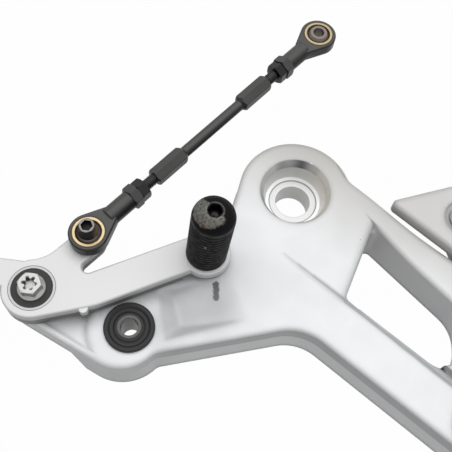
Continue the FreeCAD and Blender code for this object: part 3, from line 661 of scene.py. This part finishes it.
# A scuff, painted shade by the bush where the lever's shadow falls, painted shade along the crease in three
# lengths and along the window's edge, and two scratches
MARKS_AND_SHADE = (
    Stroke((-34.5, -53.8), (-33.6, -60.2), 1.5, 0.95, 0.5, 0.7, (0.08, 0.08, 0.085)),
    Stroke((-95.0, -72.0), (-50.0, -56.0), 9.0, 0.38, 1.6, 20.0, SHADE_GREY),
    Stroke((-56.0, -77.0), (-36.0, -66.0), 9.0, 0.34, 1.6, 20.0, SHADE_GREY),
    Stroke((-3.0, -35.0), (29.2, -52.4), 0.5, 0.3, 1.6, 20.0, SHADE_GREY),
    Stroke((5.0, -39.3), (29.2, -52.4), 0.8, 0.32, 1.6, 20.0, SHADE_GREY),
    Stroke((13.0, -43.7), (29.2, -52.4), 1.1, 0.34, 1.6, 20.0, SHADE_GREY),
    Stroke((30.5, -53.6), (84.0, -90.5), 1.4, 0.5, 0.6, 20.0, SHADE_GREY),
    Stroke((20.5, 18.5), (25.0, 11.5), 0.35, 0.35),
    Stroke((37.0, 4.8), (44.0, 0.2), 0.3, 0.3),
)
GUARD_SPOTS = ((86.8, -3.8), (104.0, -16.0))
CAST_SILVER = CastFinish("cast silver", (0.84, 0.85, 0.86), strokes=MARKS_AND_SHADE, chip=(6.8, 16.8))
# The guard's silver is a darker, reddish copy of the cast silver; its darkness is painted shade where the
# light falls off towards the upper right.
GUARD_SILVER = CastFinish("guard silver", (0.63, 0.615, 0.61), painted_falloff=(0.63, 0.615, 0.61), spots=GUARD_SPOTS)
LEVER_SILVER = LeverFinish("lever silver")
BRIGHT_STEEL = PlainFinish("bright steel", (0.40, 0.40, 0.40), 0.6, 0.36)
ZINC = BoltFinish("zinc")
# Dark steel, black steel and the nuts take painted shade on the faces that stand up; black steel keeps light
# only on faces that look straight up, a painted highlight.
DARK_STEEL = PlainFinish("dark steel", (0.07, 0.067, 0.064), 0.5, 0.36, shade=0.75)
BLACK_STEEL = PlainFinish(
    "black steel", (0.115, 0.113, 0.111), 0.0, 0.3, edge=0.5, shine=0.2, shade=0.94, steep_edge=0.86
)
NUT_BLACK = PlainFinish("nut black", (0.008, 0.008, 0.008), 0.0, 0.3, edge=0.5, shine=0.25, shade=0.5)
# The balls' steel is given a reddish tone and lightness as a painted reflection.
BALL_STEEL = PlainFinish("ball steel", (0.24, 0.20, 0.175), 0.3, 0.3, shade=0.3)
BRASS = RaceFinish("race brass")
RUBBER = PlainFinish("black rubber", (0.027, 0.027, 0.028), 0.0, 0.48, shine=0.25)
SEAL_RUBBER = PlainFinish("seal rubber", (0.040, 0.040, 0.040), 0.0, 0.55, shine=0.3)
CAGE_PLASTIC = PlainFinish("cage plastic", (0.22, 0.17, 0.11), 0.0, 0.5)
PEG_BLACK = PegFinish("peg black")
SOCKET_BLACK = SocketFinish("socket black")


@dataclass(frozen=True)
class Roster:
    """Body and slot of each of the part's nodes, from its record."""

    bodies: dict[str, str]
    slots: dict[str, str]

    @classmethod
    def read(cls) -> "Roster":
        """Return the roster of the loaded frame."""
        record = frame["record"]
        bodies = {node: body for body, nodes in record["behaviour"]["bodies"].items() for node in nodes}
        return cls(bodies, {entry["node"]: entry["material_slot"] for entry in record["subparts"]})


class Paints:
    """Materials, each made once from its finish."""

    def __init__(self) -> None:
        """Start with none."""
        self.made: dict[str, bpy.types.Material] = {}

    def of(self, finish: Any) -> bpy.types.Material:
        """Return the material of a finish."""
        if finish.name not in self.made:
            self.made[finish.name] = finish.material()
        return self.made[finish.name]


class Piece:
    """A shown piece: a mesh with one material."""

    def __init__(self, name: str, vertices: np.ndarray, faces: np.ndarray) -> None:
        """Make the mesh.

        Args:
            name: Name of the piece.
            vertices: Points in metres, one row each.
            faces: Vertex numbers, one face a row.
        """
        self.mesh = bpy.data.meshes.new(name)
        self.mesh.from_pydata(vertices.tolist(), [], faces.tolist())
        self.mesh.validate()
        self.thing = bpy.data.objects.new(name, self.mesh)
        bpy.context.scene.collection.objects.link(self.thing)

    def smooth(self, angle: float) -> "Piece":
        """Shade the piece smooth up to an angle in degrees between faces."""
        self.mesh.shade_smooth()
        self.mesh.set_sharp_from_angle(angle=math.radians(angle))
        weights = self.thing.modifiers.new("even_normals", "WEIGHTED_NORMAL")
        weights.keep_sharp = True
        return self

    def stand_for(self, node: str, roster: Roster, material: bpy.types.Material) -> "Piece":
        """Show the piece in place of a solid, on the solid's body, with a material."""
        self.mesh.materials.append(material)
        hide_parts(node)
        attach(self.thing, roster.bodies[node])
        return self


def closed_tube(rows: np.ndarray) -> tuple[np.ndarray, np.ndarray]:
    """Join rings of points into a closed surface.

    Each ring is joined to the next and to itself, and the first and last rings are
    closed by a fan to the mean of their points.

    Args:
        rows: Rings by points by three coordinates; the rings turn to the left about their way.

    Returns:
        Vertices, and vertex numbers by triangle.
    """
    count, steps, _ = rows.shape
    number = np.arange(count * steps).reshape(count, steps)
    following = np.roll(number, -1, axis=1)
    near, near_next = number[:-1].ravel(), following[:-1].ravel()
    far, far_next = number[1:].ravel(), following[1:].ravel()
    foot = np.full(steps, count * steps)
    head = foot + 1
    faces = np.concatenate([
        np.stack([near, near_next, far_next], axis=1),
        np.stack([near, far_next, far], axis=1),
        np.stack([foot, following[0], number[0]], axis=1),
        np.stack([number[-1], following[-1], head], axis=1),
    ])
    poles = np.stack([rows[0].mean(axis=0), rows[-1].mean(axis=0)])
    return np.concatenate([rows.reshape(-1, 3), poles]), faces


@dataclass
class Skins:
    """Smooth copies of the solids, each in its finish."""

    roster: Roster
    paints: Paints
    left_out: tuple[str, ...]
    smooth_angle: float = 28.0
    weld: float = 1e-6
    finishes: dict[str, Any] = field(default_factory=lambda: {
        "cast_silver": CAST_SILVER,
        "lever_silver": LEVER_SILVER,
        "bright_steel": BRIGHT_STEEL,
        "dark_steel": DARK_STEEL,
        "black_steel": BLACK_STEEL,
        "race_brass": BRASS,
        "black_rubber": RUBBER,
        "cage_plastic": CAGE_PLASTIC,
    })
    own_finish: dict[str, Any] = field(default_factory=lambda: {
        "ball_bolt": SOCKET_BLACK,
        "bearing_seal_front": SEAL_RUBBER,
        "bearing_seal_rear": SEAL_RUBBER,
        "heel_guard": GUARD_SILVER,
        "lower_ball": BALL_STEEL,
        "lower_lock_nut": NUT_BLACK,
        "pivot_bolt": ZINC,
        "upper_ball": BALL_STEEL,
        "upper_lock_nut": NUT_BLACK,
    })

    def welded(self, node: str) -> tuple[np.ndarray, np.ndarray]:
        """Return a solid's points and triangles, with points at one place merged.

        Args:
            node: Name of the solid.

        Returns:
            Points in metres, and vertex numbers by triangle.
        """
        mesh = frame["nodes"][node].data
        points = np.empty(len(mesh.vertices) * 3)
        mesh.vertices.foreach_get("co", points)
        corners = np.empty(len(mesh.loops), dtype=np.int64)
        mesh.loops.foreach_get("vertex_index", corners)
        points = points.reshape(-1, 3)
        keys = np.round(points / self.weld).astype(np.int64)
        _, first, order = np.unique(keys, axis=0, return_index=True, return_inverse=True)
        triangles = order.reshape(-1)[corners].reshape(-1, 3)
        ends = np.roll(triangles, 1, axis=1)
        return points[first], triangles[(triangles != ends).all(axis=1)]

    def build(self) -> Iterator[Piece]:
        """Make a skin for every solid that no other piece stands for."""
        for node, slot in self.roster.slots.items():
            if node in self.left_out:
                continue
            finish = self.own_finish.get(node, self.finishes[slot])
            piece = Piece(node + "_skin", *self.welded(node)).smooth(self.smooth_angle)
            yield piece.stand_for(node, self.roster, self.paints.of(finish))


@dataclass
class ToePeg:
    """Toe peg with turned ridges, a domed end and a six-lobe recess. Sizes are in millimetres."""

    roster: Roster
    paints: Paints
    foot: Spot = PEG_FOOT
    lean: float = PEG_LEAN
    radius: float = 10.0
    length: float = 46.55
    dome_round: float = 7.5
    dome_end: float = 86.0
    dome_rows: int = 12
    stub_radius: float = 4.0
    stub_core: float = 0.5
    stub_length: float = 5.0
    ridge_start: float = 1.2
    ridge_pitch: float = 2.7
    ridge_count: int = 14
    ridge_depth: float = 0.5
    recess_radius: float = 3.4
    recess_depth: float = 5.0
    lobes: int = 6
    lobe_share: float = 0.1
    lip_spread: float = 1.06
    lip_depth: float = 0.25
    steps: int = 120
    smooth_angle: float = 32.0

    def profile(self) -> np.ndarray:
        """Return the outline from the stub to the edge of the recess, as radius and height."""
        crests = self.ridge_start + self.ridge_pitch * np.arange(self.ridge_count + 1)
        roots = crests[:-1] + self.ridge_pitch / 2
        heights = np.sort(np.concatenate([crests, roots]))
        radii = np.where(np.arange(heights.size) % 2, self.radius - self.ridge_depth, self.radius)
        turn = np.radians(np.linspace(0, self.dome_end, self.dome_rows))
        dome = self.radius - self.dome_round + self.dome_round * np.cos(turn)
        rise = self.length - self.dome_round + self.dome_round * np.sin(turn)
        low = np.array([(self.stub_core, -self.stub_length), (self.stub_radius, -self.stub_length)])
        base = np.array([(self.stub_radius, 0.0), (self.radius, 0.0)])
        ridged = np.stack([radii, heights], axis=1)
        return np.concatenate([low, base, ridged, np.stack([dome, rise], axis=1)])

    def rings(self) -> np.ndarray:
        """Return the peg's surface in millimetres.

        The radius follows the profile. Past the dome it becomes the recess: a circle whose
        radius swells and shrinks by the cosine of six times the angle, let into the end.
        The rings at the foot lie in the lever's face, so their height is the distance across
        times the tangent of the lean.

        Returns:
            Rings by points by three coordinates.
        """
        angle = np.linspace(0, 2 * math.pi, self.steps, endpoint=False)
        profile = self.profile()
        lobes = self.recess_radius * (1 - self.lobe_share + self.lobe_share * np.cos(self.lobes * angle))
        edge = self.length - np.array([0.0, self.lip_depth, self.recess_depth])
        widths = np.array([self.lip_spread, 1.0, 1.0])
        radius = np.concatenate([np.repeat(profile[:, :1], self.steps, axis=1), widths[:, None] * lobes])
        height = np.concatenate([np.repeat(profile[:, 1:], self.steps, axis=1),
                                 np.repeat(edge[:, None], self.steps, axis=1)])
        lean = math.radians(self.lean)
        across = radius * np.cos(angle)
        height[2:4] = across[2:4] * math.tan(lean)
        x = self.foot[0] + across * math.cos(lean) + height * math.sin(lean)
        y = self.foot[1] + radius * np.sin(angle)
        z = self.foot[2] + height * math.cos(lean) - across * math.sin(lean)
        return np.stack([x, y, z], axis=2)

    def build(self) -> Iterator[Piece]:
        """Make the peg."""
        piece = Piece("toe_peg_ridged", *closed_tube(self.rings() * MM)).smooth(self.smooth_angle)
        yield piece.stand_for("toe_peg", self.roster, self.paints.of(PEG_BLACK))


@dataclass
class Studs:
    """Threaded studs at both ends of the shift rod. Sizes are in millimetres from each ball."""

    roster: Roster
    paints: Paints
    ball: Spot = LOWER_BALL_AT
    rod_angle: float = 53.15
    rod_length: float = 169.5
    start: float = 19.5
    thread_start: float = 36.5
    thread_end: float = 43.3
    end: float = 55.3
    radius: float = 2.75
    crest: float = 2.98
    root: float = 2.42
    pitch: float = 1.0
    steps: int = 48
    rows: int = 82
    smooth_angle: float = 40.0

    def rings(self) -> np.ndarray:
        """Return a stud's surface along its own axis.

        Between the nut and the rod the radius is a triangle wave of the distance along the stud
        less the share of a turn, which makes a helix. Inside the nut and the rod it is plain.

        Returns:
            Rings by points by three coordinates: along the rod, across it and up.
        """
        angle = np.linspace(0, 2 * math.pi, self.steps, endpoint=False)
        bare = np.linspace(self.thread_start, self.thread_end, self.rows)
        along = np.concatenate([[self.start, self.thread_start], bare, [self.thread_end, self.end]])
        turns = along[:, None] / self.pitch - angle[None, :] / (2 * math.pi)
        wave = np.abs(2 * (turns - np.floor(turns)) - 1)
        radius = self.root + (self.crest - self.root) * wave
        radius[:2] = self.radius
        radius[-2:] = self.radius
        place = np.repeat(along[:, None], self.steps, axis=1)
        return np.stack([place, radius * np.cos(angle), radius * np.sin(angle)], axis=2)

    def placed(self, rings: np.ndarray, end: RodEnd) -> np.ndarray:
        """Return the rings set at one end of the rod.

        Args:
            rings: Points along the stud's own axis.
            end: The end of the rod; at the upper one they are turned half round.

        Returns:
            Points in the part's frame.
        """
        along, across, rise = rings[..., 0], rings[..., 1], rings[..., 2]
        if end is RodEnd.UPPER:
            along, across = self.rod_length - along, -across
        turn = math.radians(self.rod_angle)
        x = self.ball[0] + along * math.cos(turn) - across * math.sin(turn)
        y = self.ball[1] + along * math.sin(turn) + across * math.cos(turn)
        return np.stack([x, y, self.ball[2] + rise], axis=-1)

    def build(self) -> Iterator[Piece]:
        """Make both studs."""
        for end in RodEnd:
            points = self.placed(self.rings(), end)
            piece = Piece(end.value + "_threaded", *closed_tube(points * MM)).smooth(self.smooth_angle)
            yield piece.stand_for(end.value, self.roster, self.paints.of(BLACK_STEEL))


@dataclass
class Studio:
    """Camera, floor and lights. Sizes are in metres."""

    camera_at: Spot = (-0.033215, -0.17696, 0.351)
    camera_right: Spot = (0.99202, 0.11414, 0.05346)
    camera_up: Spot = (-0.12604, 0.89839, 0.42073)
    focal_pixels: float = 720.0
    picture_pixels: float = 452.0
    sensor: float = 36.0
    nearest_shown: float = 0.01
    floor_half: float = 6.0
    floor_gap: float = 0.0002
    floor_color: Color = (0.3, 0.3, 0.3)
    floor_shown: float = 0.985
    room_level: float = 0.45
    lamp_at: Spot = (0.12, 0.26, 1.15)
    lamp_size: Point = (1.5, 1.0)
    lamp_power: float = 8.4

    def camera(self) -> None:
        """Set the camera where the photograph was taken."""
        data = bpy.data.cameras.new("camera")
        data.sensor_width = self.sensor
        data.lens = self.focal_pixels / self.picture_pixels * self.sensor
        data.clip_start = self.nearest_shown
        thing = bpy.data.objects.new("camera", data)
        right = Vector(self.camera_right)
        up = Vector(self.camera_up)
        turn = Matrix((right, up, right.cross(up))).transposed()
        thing.matrix_world = Matrix.Translation(self.camera_at) @ turn.to_4x4()
        bpy.context.scene.collection.objects.link(thing)
        bpy.context.scene.camera = thing

    def shown_white(self, graph: Graph) -> Value:
        """Return 1 for rays that should see a white background."""
        path = graph.node("ShaderNodeLightPath", output="Is Camera Ray")
        return (path + path.sibling("Is Glossy Ray") + path.sibling("Is Transmission Ray")).held()

    def floor(self) -> None:
        """Lay a pale floor that shows white and keeps a faint shadow."""
        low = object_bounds()[0].z - self.floor_gap
        half = self.floor_half
        corners = np.array([(-half, -half, low), (half, -half, low), (half, half, low), (-half, half, low)])
        piece = Piece("floor", corners, np.array([(0, 1, 2, 3)]))
        graph = Graph(bpy.data.materials.new("floor white"))
        paint = graph.node("ShaderNodeBsdfDiffuse", inputs={"Color": self.floor_color})
        glow = graph.node("ShaderNodeEmission", inputs={"Color": (1.0, 1.0, 1.0), "Strength": 1.0})
        shown = self.shown_white(graph) * self.floor_shown
        surface = graph.node("ShaderNodeMixShader", inputs={0: shown, 1: paint, 2: glow})
        graph.node("ShaderNodeOutputMaterial", inputs={"Surface": surface})
        piece.mesh.materials.append(graph.owner)
        piece.thing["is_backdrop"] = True

    def world(self) -> None:
        """Fill the room with plain light, and show it white behind the part."""
        world = bpy.data.worlds.new("room")
        bpy.context.scene.world = world
        graph = Graph(world)
        level = self.room_level
        room = graph.node("ShaderNodeBackground", inputs={"Color": (level, level, level)})
        white = graph.node("ShaderNodeBackground", inputs={"Color": (1.0, 1.0, 1.0)})
        surface = graph.node("ShaderNodeMixShader", inputs={0: self.shown_white(graph), 1: room, 2: white})
        graph.node("ShaderNodeOutputWorld", inputs={"Surface": surface})

    def lamp(self) -> None:
        """Hang a soft oblong lamp above the part, facing it."""
        data = bpy.data.lights.new("top_lamp", "AREA")
        data.shape = "RECTANGLE"
        data.size, data.size_y = self.lamp_size
        data.energy = self.lamp_power
        thing = bpy.data.objects.new("top_lamp", data)
        thing.location = self.lamp_at
        thing.rotation_euler = (-Vector(self.lamp_at)).to_track_quat("-Z", "Y").to_euler()
        bpy.context.scene.collection.objects.link(thing)

    def build(self) -> None:
        """Set up the whole studio."""
        bpy.context.scene.view_settings.view_transform = "Standard"
        self.camera()
        self.floor()
        self.world()
        self.lamp()


def main() -> None:
    """Build every piece and the studio."""
    logging.basicConfig(level=logging.INFO, format="%(name)s: %(message)s")
    roster = Roster.read()
    paints = Paints()
    own = (ToePeg(roster, paints), Studs(roster, paints))
    skins = Skins(roster, paints, ("toe_peg", "lower_stud", "upper_stud"))
    for assembly in (skins,) + own:
        for piece in assembly.build():
            LOG.info("%s: %d faces", piece.thing.name, len(piece.mesh.polygons))
    Studio().build()


if __name__ == "__main__":
    main()
